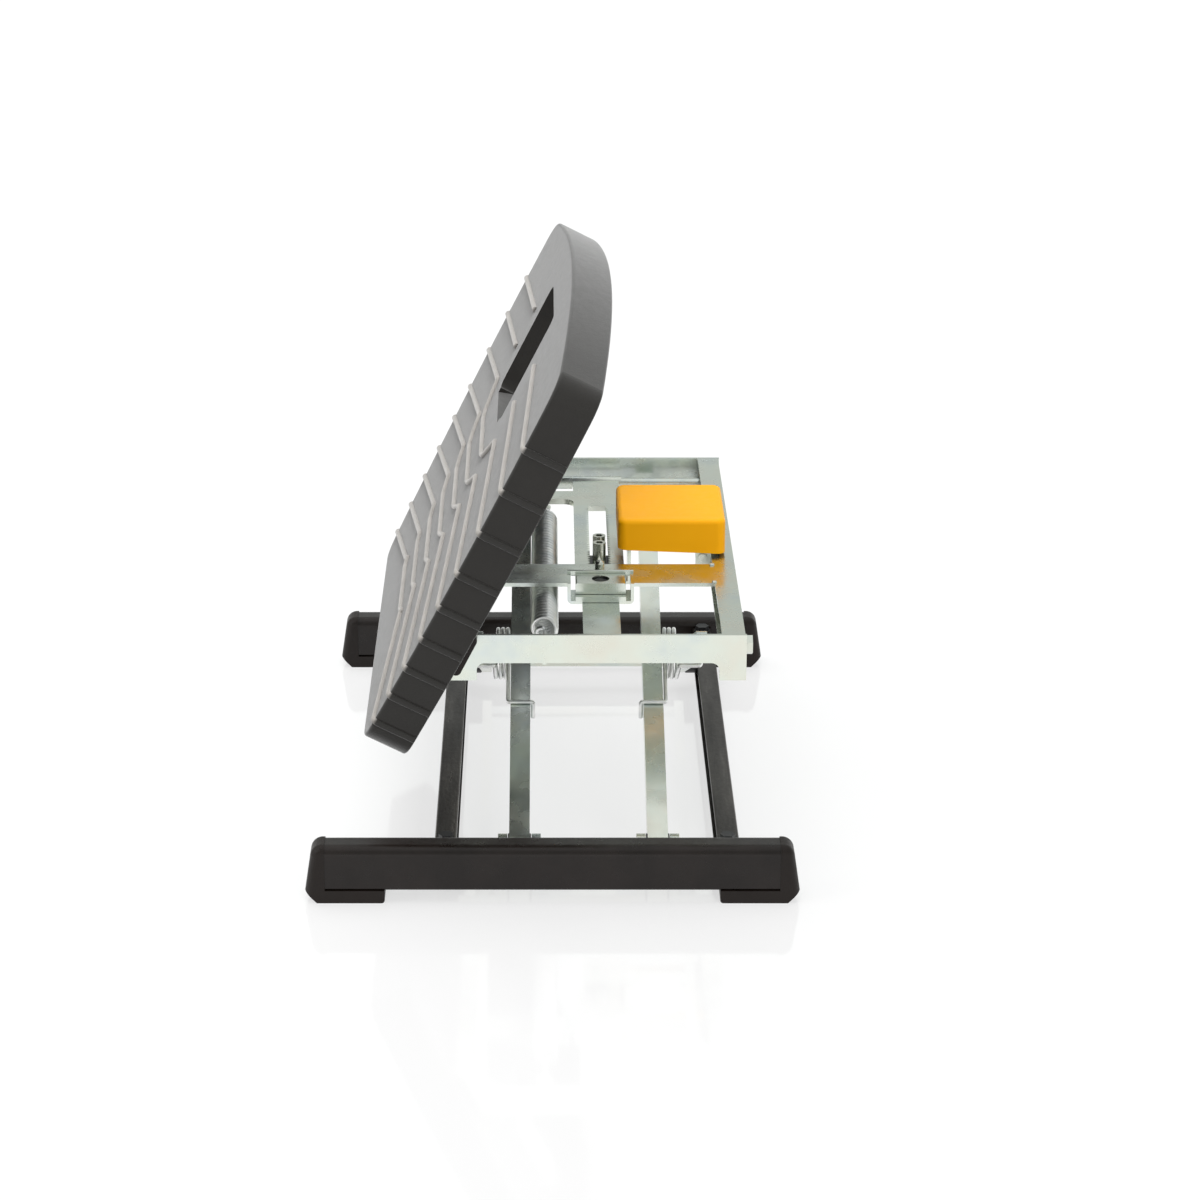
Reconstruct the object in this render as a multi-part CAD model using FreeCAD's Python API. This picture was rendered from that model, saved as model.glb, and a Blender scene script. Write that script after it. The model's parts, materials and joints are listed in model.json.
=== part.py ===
import FreeCAD, Part
import math
import os

# Height-adjustable, tilting foot rest. X runs along the skids and away from the
# sitting user, Y runs across the foot board, Z is up. The origin is the middle of
# the base at floor level. All sizes are in millimetres, at the lowest height and
# the steepest board.

V = FreeCAD.Vector

# Base: two skid tubes along X, on moulded end caps, joined by two C-channels
base_length = 372.0
skid_outset = 27.3
skid_width = 25.0
skid_height = 35.0
skid_wall = 1.6
skid_edge_radius = 7.0
foot_height = 10.0
foot_length = 60.0
cap_length = 15.0
cap_skin = 0.6
cap_flare = 5.6
cap_socket = 3.0
cap_chamfer = 9.0
cap_crest_radius = 9.0
pad_thickness = 2.0
channel_width = 16.6
channel_height = 26.0
channel_wall = 2.0
channel_bottom = 11.0
channel_right_x = 133.2
channel_left_x = -80.9

# Scissor: inner arms rise away from the near skid, outer arms rise towards it
arm_rise = 163.5
rod_setback = 28.5
pivot_radius = 5.0
running_gap = 0.05
side_gap = 0.5
inner_arm_width = 15.6
inner_arm_height = 20.0
inner_arm_wall = 2.0
inner_left_x = -25.2
inner_right_x = 80.4
outer_arm_width = 8.0
outer_arm_height = 20.0
outer_arm_offset = 31.0
rod_radius = 4.0
lower_glide_radius = 10.6
glide_gap = 0.4

# Lift frame
frame_left = -76.6
frame_right = 144.5
frame_half_depth = 216.5
frame_height = 25.0
bar_height = 22.2
bar_thickness = 3.0
side_width = 17.5
side_wall = 2.5
tab_drop = 36.0
tab_length = 20.0
tab_fillet = 6.0
pivot_below_top = 12.5
strip_near_y = -102.4
strip_far_y = -58.5
strip_thickness = 3.0

# Rack plate that travels with the upper rod
rack_thickness = 4.5
sleeve_wall = 1.4
rack_below_top = 9.5
rack_mid_x = 37.6
rack_width = 39.0
support_width = 28.6
slot_width = 14.6
slot_near_y = -56.0
slot_far_y = 113.0
tooth_pitch = 5.4
tooth_depth = 2.4
head_left_x = -16.0
head_near_y = 131.0
head_depth = 22.0
guide_gap = 0.3

# Pedal and the lever that carries the pawl
pedal_left_x = 52.0
pedal_right_x = 137.0
pedal_near_y = -42.0
pedal_far_y = 50.0
pedal_skirt_slope = 3.5
pedal_height = 25.0
pedal_above_top = 6.0
pedal_wall = 3.0
pedal_pivot_x = 119.5
pedal_pivot_below_top = 4.5
lever_thickness = 2.5
pawl_near_y = -36.0
pawl_far_y = 3.0
pawl_gap = 0.5

# Foot board, seen flat: u from its front edge, v across, depth from its top face
board_tilt = 63.0
board_length = 351.0
board_thickness = 35.0
board_front_inset = 10.0
board_mid_outset = 18.0
board_back_outset = 17.0
board_mid_u = 150.0
board_back_u = 325.0
front_corner_radius = 22.0
back_corner_radius = 24.0
board_skin = 13.0
plate_thickness = 3.0
well_front_u = 78.0
well_back_u = 306.0
hinge_block_thickness = 6.0
opening_front_u = 220.5
opening_back_u = 318.0
opening_near_half = 46.0
opening_far_half = 54.0
opening_radius = 8.0
ramp_depth = 13.0
ramp_run = 4.0
hinge_u = 99.5
hinge_depth = 27.0
hinge_below_top = 10.0
hinge_x = -74.0
hinge_pin_radius = 4.0

# Places that follow from the driving sizes
bar_outer_y = frame_half_depth
bar_inner_y = frame_half_depth - bar_thickness
near_pivot_y = outer_arm_height / 2 + side_gap - bar_inner_y
far_y = bar_inner_y - rod_setback
arm_span = far_y - near_pivot_y
well_half = frame_half_depth + side_gap + hinge_block_thickness
board_front_half = well_half - board_front_inset
board_mid_half = well_half + board_mid_outset
board_back_half = well_half + board_back_outset
arm_reach = math.hypot(arm_span, arm_rise)
rest_angle = math.degrees(math.atan2(arm_rise, arm_span))
low_z = channel_bottom + channel_height / 2
high_z = low_z + arm_rise
centre_y = (near_pivot_y + far_y) / 2
centre_z = (low_z + high_z) / 2
frame_top = high_z + pivot_below_top
frame_bottom = frame_top - frame_height
skid_y = frame_half_depth + skid_outset
skid_inner_y = skid_y - skid_width / 2
skid_top = foot_height + skid_height
rack_top = frame_top - rack_below_top
rack_bottom = rack_top - rack_thickness
outer_left_x = inner_left_x - outer_arm_offset
outer_right_x = inner_right_x + outer_arm_offset
lower_glide_inner_x = outer_right_x + outer_arm_width / 2 + side_gap
strip_bottom = frame_top - strip_thickness
pedal_bottom = frame_top + pedal_above_top
lever_plate_bottom = pedal_bottom - lever_thickness
pedal_pivot_z = frame_top - pedal_pivot_below_top
pawl_top = rack_bottom - pawl_gap
pawl_height = 8.0
lever_top = pawl_top - pawl_height
screw_ys = (pawl_near_y + 11.0, pawl_near_y + 28.0)
hinge_z = frame_top - hinge_below_top


def box(x0, x1, y0, y1, z0, z1):
    return Part.makeBox(x1 - x0, y1 - y0, z1 - z0, V(x0, y0, z0))


def rod_x(x0, x1, y, z, radius):
    return Part.makeCylinder(radius, x1 - x0, V(x0, y, z), V(1, 0, 0))


def rod_y(y0, y1, x, z, radius):
    return Part.makeCylinder(radius, y1 - y0, V(x, y0, z), V(0, 1, 0))


def rod_z(z0, z1, x, y, radius):
    return Part.makeCylinder(radius, z1 - z0, V(x, y, z0), V(0, 0, 1))


def ring_x(x0, x1, y, z, outer, inner):
    return rod_x(x0, x1, y, z, outer).cut(rod_x(x0 - 1, x1 + 1, y, z, inner))


def prism(points, direction):
    """The closed outline through the points, carried along the direction."""
    wire = Part.makePolygon(points + [points[0]])
    return Part.Face(wire).extrude(direction)


def prism_xz(points, y0, y1):
    return prism([V(x, y0, z) for x, z in points], V(0, y1 - y0, 0))


def prism_yz(points, x0, x1):
    return prism([V(x0, y, z) for y, z in points], V(x1 - x0, 0, 0))


def prism_xy(points, z0, z1):
    return prism([V(x, y, z0) for x, y in points], V(0, 0, z1 - z0))


def round_edges(shape, radius, axis):
    """Rounds the straight edges of a shape that run along the axis."""
    chosen = []
    for edge in shape.Edges:
        if isinstance(edge.Curve, Part.Line) and abs(edge.Curve.Direction.dot(axis)) > 0.999:
            chosen.append(edge)
    return shape.makeFillet(radius, chosen)


def hexagon(radius, start, direction, length):
    """A hexagonal prism whose corners lie on the radius."""
    points = []
    for k in range(6):
        angle = math.radians(60 * k)
        points.append(V(radius * math.cos(angle), radius * math.sin(angle), 0))
    shape = prism(points, V(0, 0, length))
    shape.Placement = FreeCAD.Placement(start, FreeCAD.Rotation(V(0, 0, 1), direction))
    return shape


def mirror_y(shape):
    return shape.mirror(V(0, 0, 0), V(0, 1, 0))


def one_solid(shape):
    return shape.Solids[0] if len(shape.Solids) == 1 else shape


# ---------------------------------------------------------------- base

def skid_profile(inset, x0, x1, y):
    """The skid's section: flat sides, round top edges, slightly round bottom edges."""
    half = skid_width / 2 - inset
    shape = box(x0, x1, y - half, y + half, foot_height + inset, skid_top - inset)
    top_edges = []
    bottom_edges = []
    for edge in shape.Edges:
        centre = edge.CenterOfMass
        if abs(edge.Curve.Direction.x) < 0.9:
            continue
        if centre.z > skid_top - inset - 1:
            top_edges.append(edge)
        else:
            bottom_edges.append(edge)
    shape = shape.makeFillet(max(skid_edge_radius - inset, 0.5), top_edges)
    bottom_edges = [e for e in shape.Edges if isinstance(e.Curve, Part.Line)
                    and abs(e.Curve.Direction.x) > 0.9
                    and e.CenterOfMass.z < foot_height + inset + 0.01]
    return shape.makeFillet(max(2.5 - inset, 0.5), bottom_edges)


def skid_tube(y):
    end = base_length / 2 - cap_length + cap_socket
    outer = skid_profile(0, -end, end, y)
    inner = skid_profile(skid_wall, -end - 1, end + 1, y)
    return outer.cut(inner)


def end_cap(side, y):
    """A cap over the skid's end with a foot under it; side is +1 or -1 along X."""
    mouth = base_length / 2 - cap_length
    end = base_length / 2
    half = skid_width / 2 + cap_skin
    top = skid_top + cap_skin
    toe = end - cap_flare
    outline = [(mouth, top), (toe, top), (end, cap_chamfer), (end - cap_chamfer, 0.0),
               (end - foot_length, 0.0), (end - foot_length, foot_height), (mouth, foot_height)]
    shape = prism_xz(outline, y - half, y + half)
    heel = [e for e in shape.Edges if e.BoundBox.ZMax < 0.1 and e.BoundBox.XMax < end - foot_length + 0.1]
    shape = shape.makeFillet(2.5, heel)
    crest = [e for e in shape.Edges if e.BoundBox.ZMin > top - 0.1 and e.BoundBox.XMin > mouth + 1]
    shape = shape.makeFillet(cap_crest_radius, crest)
    crown = [e for e in shape.Edges if e.BoundBox.XMin > mouth - 0.1 and e.BoundBox.ZMin > top - 10.0
             and e.BoundBox.YMax - e.BoundBox.YMin < 0.1]
    shape = shape.makeFillet(skid_edge_radius - 0.5, crown)
    room = skid_profile(0, 0, mouth + cap_socket, y)
    shape = shape.cut(room)
    plug = skid_profile(skid_wall, mouth - 10.0, mouth + cap_socket, y)
    shape = shape.fuse(plug)
    shape = shape.cut(box(end - foot_length + 3.0, end - cap_chamfer - 2.0, y - half + 3.0, y + half - 3.0,
                          -1.0, pad_thickness))
    if side < 0:
        shape = shape.mirror(V(0, 0, 0), V(1, 0, 0))
    return one_solid(shape.removeSplitter())


def foot_pads():
    end = base_length / 2
    half = skid_width / 2 + cap_skin - 3.0
    pads = []
    for y in (-skid_y, skid_y):
        for side in (-1, 1):
            x0, x1 = sorted((side * (end - foot_length + 3.0), side * (end - cap_chamfer - 2.0)))
            pads.append(box(x0, x1, y - half, y + half, 0, pad_thickness))
    return Part.makeCompound(pads)


def cross_bar(mid_x, side):
    """A C-channel between the skids, open towards the scissor; side is its back."""
    x0, x1 = mid_x - channel_width / 2, mid_x + channel_width / 2
    z0, z1 = channel_bottom, channel_bottom + channel_height
    shape = box(x0, x1, -skid_inner_y, skid_inner_y, z0, z1)
    shape = round_edges(shape, 1.5, V(0, 1, 0))
    inner_x0 = x0 - 1 if side > 0 else x0 + channel_wall
    inner_x1 = x1 - channel_wall if side > 0 else x1 + 1
    shape = shape.cut(box(inner_x0, inner_x1, -skid_inner_y - 1, skid_inner_y + 1,
                          z0 + channel_wall, z1 - channel_wall))
    shape = shape.cut(rod_x(x0 - 1, x1 + 1, near_pivot_y, low_z, pivot_radius))
    for y in bolt_ys():
        shape = shape.cut(rod_z(z1 - 5, z1 + 1, bolt_x(mid_x, side), y, 3.0))
    return shape


def bolt_ys():
    return (-skid_inner_y + 7.6, skid_inner_y - 7.6)


def bolt_x(mid_x, side):
    return mid_x - side * 0.5


def rail_lugs():
    """Lugs welded inside the channels' ends, to the skids, under the bolts."""
    top = channel_bottom + channel_height - channel_wall
    lugs = []
    for mid_x, side in ((channel_right_x, 1), (channel_left_x, -1)):
        x = bolt_x(mid_x, side)
        for y in bolt_ys():
            y0, y1 = (-skid_inner_y, y + 6.0) if y < 0 else (y - 6.0, skid_inner_y)
            lug = box(x - 6.0, x + 6.0, y0, y1, top - 4.0, top)
            lugs.append(lug.cut(rod_z(top - 5, top + 1, x, y, 3.0)))
    return Part.makeCompound(lugs)


def cross_bar_bolts():
    top = channel_bottom + channel_height
    bolts = []
    for mid_x, side in ((channel_right_x, 1), (channel_left_x, -1)):
        x = bolt_x(mid_x, side)
        for y in bolt_ys():
            bolt = rod_z(top - channel_wall - 8.0, top, x, y, 3.0)
            bolt = bolt.fuse(rod_z(top, top + 1.2, x, y, 7.0))
            bolt = bolt.fuse(hexagon(5.8, V(x, y, top + 1.2), V(0, 0, 1), 4.0))
            bolts.append(one_solid(bolt))
    return Part.makeCompound(bolts)


def lower_pivot_shaft():
    x0 = channel_left_x - channel_width / 2
    x1 = channel_right_x + channel_width / 2
    shaft = rod_x(x0 - 1.0, x1 + 1.0, near_pivot_y, low_z, pivot_radius)
    return shaft


def lower_shaft_nuts():
    x0 = channel_left_x - channel_width / 2 + channel_wall
    x1 = channel_right_x + channel_width / 2 - channel_wall
    nuts = []
    for x in (x0, x1 - 6.0):
        nut = hexagon(8.6, V(x, near_pivot_y, low_z), V(1, 0, 0), 6.0)
        nuts.append(nut.cut(rod_x(x - 1, x + 7, near_pivot_y, low_z, pivot_radius)))
    return Part.makeCompound(nuts)


def lower_shaft_collars():
    """Rings that keep each inner arm in its place on the lower shaft."""
    rings = []
    for mid_x in (inner_left_x, inner_right_x):
        reach = inner_arm_width / 2 + 1.0 + side_gap
        rings.append(ring_x(mid_x - reach - 7.0, mid_x - reach, near_pivot_y, low_z, 8.5, pivot_radius))
        rings.append(ring_x(mid_x + reach, mid_x + reach + 7.0, near_pivot_y, low_z, 8.5, pivot_radius))
    return Part.makeCompound(rings)


# ---------------------------------------------------------------- scissor

def lay_arm(shape, y, z, angle):
    """Turns an arm modelled along +Y from the origin to its angle, onto a pivot."""
    shape.rotate(V(0, 0, 0), V(1, 0, 0), angle)
    shape.translate(V(0, y, z))
    return shape


def flat_arm(x0, x1, height, reach, end_reach):
    half = height / 2
    shape = box(x0, x1, 0, reach, -half, half)
    shape = shape.fuse(rod_x(x0, x1, 0, 0, half))
    if end_reach > 0:
        shape = shape.fuse(box(x0, x1, reach, reach + end_reach, -half, half))
    return shape.removeSplitter()


def inner_arm(mid_x):
    """A square tube with plugged ends; the rod lies in a saddle at its far end."""
    x0, x1 = mid_x - inner_arm_width / 2, mid_x + inner_arm_width / 2
    half = inner_arm_height / 2
    wall = inner_arm_wall
    shape = flat_arm(x0, x1, inner_arm_height, arm_reach, 6.0)
    for start, stop in ((16.0, arm_reach / 2 - 12.0), (arm_reach / 2 + 12.0, arm_reach - 34.0)):
        shape = shape.cut(box(x0 + wall, x1 - wall, start, stop, -half + wall, half - wall))
    slope = math.tan(math.radians(rest_angle))
    crest = 1.0
    run = (half - crest) / slope
    wedge = [(arm_reach - run, half), (arm_reach + 8.0, crest - 8.0 * slope),
             (arm_reach + 8.0, half + 5.0), (arm_reach - run, half + 5.0)]
    shape = shape.cut(prism_yz(wedge, x0 - 1, x1 + 1))
    shape = shape.cut(rod_x(x0 - 1, x1 + 1, arm_reach, 0, rod_radius))
    shape = shape.cut(rod_x(x0 - 1, x1 + 1, 0, 0, pivot_radius + 2.0))
    shape = shape.cut(rod_x(x0 - 1, x1 + 1, arm_reach / 2, 0, pivot_radius))
    return lay_arm(one_solid(shape), near_pivot_y, low_z, rest_angle)


def arm_bushes():
    bushes = []
    for mid_x in (inner_left_x, inner_right_x):
        half = inner_arm_width / 2
        bush = ring_x(mid_x - half, mid_x + half, near_pivot_y, low_z,
                      pivot_radius + 2.0, pivot_radius + running_gap)
        for x0 in (mid_x - half - 1.0, mid_x + half):
            bush = bush.fuse(ring_x(x0, x0 + 1.0, near_pivot_y, low_z, 8.5, pivot_radius + running_gap))
        bushes.append(one_solid(bush.removeSplitter()))
    return Part.makeCompound(bushes)


def outer_arm(mid_x):
    """A flat bar; the upper pivot and the centre pin run in it, the axle is fixed."""
    x0, x1 = mid_x - outer_arm_width / 2, mid_x + outer_arm_width / 2
    shape = flat_arm(x0, x1, outer_arm_height, arm_reach, 0)
    shape = shape.fuse(rod_x(x0, x1, arm_reach, 0, outer_arm_height / 2))
    shape = shape.cut(rod_x(x0 - 1, x1 + 1, 0, 0, pivot_radius + running_gap))
    shape = shape.cut(rod_x(x0 - 1, x1 + 1, arm_reach / 2, 0, pivot_radius + running_gap))
    shape = shape.cut(rod_x(x0 - 1, x1 + 1, arm_reach, 0, pivot_radius))
    return lay_arm(one_solid(shape.removeSplitter()), near_pivot_y, high_z, -rest_angle)


def centre_pins():
    pins = []
    for inner_x, outer_x, side in ((inner_left_x, outer_left_x, -1), (inner_right_x, outer_right_x, 1)):
        inner_end = inner_x - side * (inner_arm_width / 2)
        outer_end = outer_x + side * (outer_arm_width / 2 + side_gap)
        x0, x1 = sorted((inner_end, outer_end + side * 3.0))
        pin = rod_x(x0, x1, centre_y, centre_z, pivot_radius)
        head0, head1 = sorted((inner_end, inner_end - side * 3.0))
        pin = pin.fuse(rod_x(head0, head1, centre_y, centre_z, 8.5))
        clip0, clip1 = sorted((outer_end, outer_end + side * 1.5))
        pin = pin.fuse(rod_x(clip0, clip1, centre_y, centre_z, 7.5))
        pins.append(one_solid(pin.removeSplitter()))
    return Part.makeCompound(pins)


def torsion_spring(inner_x, side):
    """The coil round a centre pin with its long leg along the inner arm."""
    wire = 1.6
    coil_outer = 19.5
    gap0 = inner_x + side * (inner_arm_width / 2 + 1.5)
    gap1 = gap0 + side * 13.0
    x0, x1 = sorted((gap0, gap1))
    shape = ring_x(x0, x1, centre_y, centre_z, coil_outer, coil_outer - 2 * wire)
    leg_x = gap0 + side * 3.0
    leg = box(leg_x - wire, leg_x + wire, -58.0, -12.0, coil_outer - 2 * wire - 3.0, coil_outer - 3.0)
    over0, over1 = sorted((leg_x + side * wire, inner_x - side * (inner_arm_width / 2 + 5.0)))
    bar = box(over0, over1, -58.0 - 2 * wire, -58.0, inner_arm_height / 2 + 0.4,
              inner_arm_height / 2 + 0.4 + 2 * wire)
    leg = leg.fuse(box(leg_x - wire, leg_x + wire, -58.0 - 2 * wire, -58.0, inner_arm_height / 2 + 0.4,
                       coil_outer - 3.0))
    shape = shape.fuse(lay_arm(leg.fuse(bar), centre_y, centre_z, rest_angle))
    return one_solid(shape.removeSplitter())


def glide_axle():
    """Ties the outer arms' lower ends and carries the lower glides."""
    x0 = outer_left_x - outer_arm_width / 2 - side_gap - lower_glide_length()
    x1 = outer_right_x + outer_arm_width / 2 + side_gap + lower_glide_length()
    return rod_x(x0, x1, far_y, low_z, pivot_radius)


def lower_glide_length():
    reach = channel_right_x + channel_width / 2 - channel_wall - glide_gap
    return reach - lower_glide_inner_x


def lower_glides():
    """Nylon glides that run inside the cross bars."""
    glides = []
    length = lower_glide_length()
    for x0 in (outer_left_x - outer_arm_width / 2 - side_gap - length,
               outer_right_x + outer_arm_width / 2 + side_gap):
        glide = rod_x(x0, x0 + length, far_y, low_z, lower_glide_radius)
        glide = glide.makeFillet(1.5, [e for e in glide.Edges if isinstance(e.Curve, Part.Circle)])
        glides.append(glide.cut(rod_x(x0 - 1, x0 + length + 1, far_y, low_z, pivot_radius)))
    return Part.makeCompound(glides)


def upper_glide_spans():
    right0 = frame_right - 1.0 - side_width + 1.0
    right1 = frame_right - 1.0 - side_wall - glide_gap
    left0 = frame_left + side_wall + glide_gap
    left1 = left0 + right1 - right0
    return (left0, left1), (right0, right1)


def slider_rod():
    left, right = upper_glide_spans()
    return rod_x(left[0], right[1], far_y, high_z, rod_radius)


def upper_glides():
    """Nylon glides on the rod's ends that run inside the frame's side channels."""
    radius = frame_height / 2 - side_wall - glide_gap
    glides = []
    for x0, x1 in upper_glide_spans():
        glide = rod_x(x0, x1, far_y, high_z, radius)
        glide = glide.makeFillet(1.0, [e for e in glide.Edges if isinstance(e.Curve, Part.Circle)])
        glides.append(glide.cut(rod_x(x0 - 1, x1 + 1, far_y, high_z, rod_radius)))
    return Part.makeCompound(glides)


def rod_tube():
    """The spacer tube on the rod between the left arm and the rack plate."""
    x0 = inner_left_x + inner_arm_width / 2
    x1 = rack_mid_x - rack_width / 2 - side_gap
    return ring_x(x0, x1, far_y, high_z, rod_radius + 1.5, rod_radius)


# ---------------------------------------------------------------- lift frame

def frame_bar(side):
    """A standing flat bar with a deep tab at each end and the board's hinge hole."""
    top = frame_top
    low = top - bar_height
    drop = top - tab_drop
    end = 9.4
    left = frame_left
    right_tab = frame_right - tab_length
    left_tab = left + tab_length
    outline = [(left, top), (frame_right, top), (frame_right, drop), (right_tab, drop),
               (right_tab, low), (left_tab, low), (left_tab, drop), (left, drop)]
    y0, y1 = (-bar_outer_y, -bar_inner_y) if side < 0 else (bar_inner_y, bar_outer_y)
    shape = prism_xz(outline, y0, y1)
    roots = [e for e in shape.Edges if abs(e.CenterOfMass.z - low) < 0.1
             and e.BoundBox.XMax - e.BoundBox.XMin < 0.1]
    shape = shape.makeFillet(tab_fillet, roots)
    shape = shape.fuse(rod_y(y0, y1, hinge_x, hinge_z, end)).removeSplitter()
    shape = shape.cut(rod_y(y0 - 1, y1 + 1, hinge_x, hinge_z, hinge_pin_radius + running_gap))
    return one_solid(shape)


def side_channel(side):
    """A C-channel along Y, open towards the scissor, in which the upper glides run."""
    x0, x1 = (frame_left, frame_left + side_width - 3.0)
    if side > 0:
        x0, x1 = frame_right - 1.0 - side_width, frame_right - 1.0
    shape = box(x0, x1, -bar_inner_y, bar_inner_y, frame_bottom, frame_top)
    room_x0, room_x1 = (x0 - 1, x1 - side_wall) if side > 0 else (x0 + side_wall, x1 + 1)
    shape = shape.cut(box(room_x0, room_x1, -bar_inner_y - 1, bar_inner_y + 1,
                          frame_bottom + side_wall, frame_top - side_wall))
    return shape.cut(rod_x(x0 - 1, x1 + 1, near_pivot_y, high_z, pivot_radius))


def cross_strip():
    """The flat strip across the frame, notched round the rack guide."""
    x0 = frame_left + side_width - 3.0
    x1 = frame_right - 1.0 - side_width
    shape = box(x0, x1, strip_near_y, strip_far_y, strip_bottom, frame_top)
    half = guide_half()
    shape = shape.cut(box(rack_mid_x - half, rack_mid_x + half, strip_near_y - 1, strip_near_y + 26.5,
                          strip_bottom - 1, frame_top + 1))
    return shape.cut(rod_z(strip_bottom - 1, frame_top + 1, rack_mid_x - 0.5, guide_pin_y(), 2.4))


def guide_half():
    return rack_width / 2 + guide_gap + 2.5 + 3.5


def rack_guide():
    """A bent channel under the strip: two legs with lips that carry the rack plate."""
    half = guide_half()
    wall = 2.5
    low = rack_bottom - guide_gap - wall
    gap = support_width / 2
    y0, y1 = guide_near_y(), strip_near_y + 24.0
    shape = box(rack_mid_x - half, rack_mid_x + half, y0, y1, low, frame_top)
    lips = [e for e in shape.Edges if abs(e.CenterOfMass.z - low) < 0.1
            and e.BoundBox.XMax - e.BoundBox.XMin < 0.1]
    shape = shape.makeFillet(4.0, lips)
    inside = half - wall
    shape = shape.cut(box(rack_mid_x - inside, rack_mid_x + inside, y0 - 1, y1 + 1, low + wall,
                          frame_top + 1))
    shape = shape.cut(box(rack_mid_x - gap, rack_mid_x + gap, y0 - 1, y1 + 1, low - 1, low + wall + 1))
    bridge = box(rack_mid_x - half, rack_mid_x + half, y1, y1 + wall, strip_bottom, frame_top + 2.0)
    bridge = round_edges(bridge, 1.0, V(1, 0, 0))
    return one_solid(shape.fuse(bridge).removeSplitter())


def guide_near_y():
    return strip_near_y - 1.6


def rack_support():
    """The fixed strip under the rack plate, from the near bar into the guide."""
    top = rack_bottom - guide_gap
    half = support_width / 2
    return box(rack_mid_x - half, rack_mid_x + half, -bar_inner_y, guide_near_y() + 8.0, top - 2.5, top)


def guide_block():
    """The block on top of the rack plate, with the plunger's hole in it."""
    half = rack_width / 2
    y0, y1 = strip_near_y + 0.4, strip_near_y + 23.5
    shape = box(rack_mid_x - half, rack_mid_x + half, y0, y1, rack_top + guide_gap, frame_top - 0.5)
    shape = round_edges(shape, 1.2, V(0, 1, 0))
    shape = shape.cut(rod_z(rack_top, frame_top, rack_mid_x, plunger_y(), 6.8))
    return shape


def plunger_y():
    return strip_near_y + 11.5


def guide_plunger():
    return rod_z(rack_top + guide_gap, frame_top - 2.0, rack_mid_x, plunger_y(), 5.2)


def guide_pin_y():
    return strip_near_y + 31.0


def guide_pin():
    """A round-headed pin on the strip, beside the pawl."""
    y = guide_pin_y()
    head = rod_z(frame_top, frame_top + 8.0, rack_mid_x - 0.5, y, 3.6)
    crown = [e for e in head.Edges if e.BoundBox.ZMin > frame_top + 7.9]
    head = head.makeFillet(3.0, crown)
    return one_solid(rod_z(strip_bottom, frame_top, rack_mid_x - 0.5, y, 2.4).fuse(head))


def pivot_bolts():
    """Bolts through the side channels on which the outer arms' upper ends turn."""
    bolts = []
    for x_out, x_in, side in ((frame_right - 1.0, outer_right_x - outer_arm_width / 2, 1),
                              (frame_left, outer_left_x + outer_arm_width / 2, -1)):
        tip = x_in - side * (side_gap + 4.0)
        x0, x1 = sorted((x_out, tip))
        bolt = rod_x(x0, x1, near_pivot_y, high_z, pivot_radius)
        start = x_out if side > 0 else x_out - 3.0
        washer0, washer1 = start, start + (1.5 if side > 0 else 3.0)
        bolt = bolt.fuse(rod_x(washer0, washer1, near_pivot_y, high_z, 8.0))
        if side > 0:
            bolt = bolt.fuse(hexagon(7.5, V(x_out + 1.5, near_pivot_y, high_z), V(1, 0, 0), 4.5))
        bolts.append(one_solid(bolt.removeSplitter()))
    return Part.makeCompound(bolts)


def pivot_sleeves():
    """Sleeves and collars that hold the outer arms in line on the pivot bolts."""
    rings = []
    web_right = frame_right - 1.0 - side_wall
    web_left = frame_left + side_wall
    for web, mid_x, side in ((web_right, outer_right_x, 1), (web_left, outer_left_x, -1)):
        face = mid_x + side * (outer_arm_width / 2 + side_gap)
        x0, x1 = sorted((face, web))
        rings.append(ring_x(x0, x1, near_pivot_y, high_z, 7.5, pivot_radius))
        back = mid_x - side * (outer_arm_width / 2 + side_gap)
        x0, x1 = sorted((back, back - side * 4.0))
        rings.append(ring_x(x0, x1, near_pivot_y, high_z, 7.5, pivot_radius))
    return Part.makeCompound(rings)


def spring_x():
    return rack_mid_x - 43.6


def spring_anchor():
    """A lug on the near bar that holds the lift spring's hook."""
    x = spring_x()
    lug = box(x - 1.5, x + 1.5, -bar_inner_y, -bar_inner_y + 16.0, high_z - 12.0, high_z + 1.0)
    return lug.cut(rod_x(x - 2, x + 2, anchor_hole_y(), high_z - 6.0, 2.5))


def anchor_hole_y():
    return -bar_inner_y + 11.0


def lift_spring():
    """The long tension spring from the near bar to the rack plate's head."""
    x = spring_x()
    z = high_z - 6.0
    near, far = -158.0, 106.0
    wire = 1.25
    leg = 1.0
    coil = rod_y(near, far, x, z, 10.3).cut(rod_y(near + 2.5, far - 2.5, x, z, 7.8))
    eye = anchor_hole_y() + 2.5 - wire - running_gap
    fork = anchor_hole_y() + 8.5
    for y in (eye, fork):
        coil = coil.fuse(rod_x(x - 5.5, x + 5.5, y, z, wire))
    for side in (-1, 1):
        coil = coil.fuse(rod_y(eye, fork, x + side * 3.5, z, leg))
    coil = coil.fuse(rod_y(fork, near + 1.0, x, z, leg))
    coil = coil.fuse(rod_y(far - 1.0, head_near_y + 2.5, x, z, leg))
    return one_solid(coil.removeSplitter())


# ---------------------------------------------------------------- rack plate

def rack_outline():
    """The plate seen from above: a long strip with an arm to the left for the lift spring."""
    half = rack_width / 2
    x0, x1 = rack_mid_x - half, rack_mid_x + half
    edge = far_y - rod_radius - 1.5
    near = guide_near_y() - 4.0
    head_far_y = head_near_y + head_depth
    return [(x1, near), (x1, edge), (x0, edge), (x0, head_far_y), (head_left_x, head_far_y),
            (head_left_x, head_near_y), (x0, head_near_y), (x0, near)]


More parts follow.
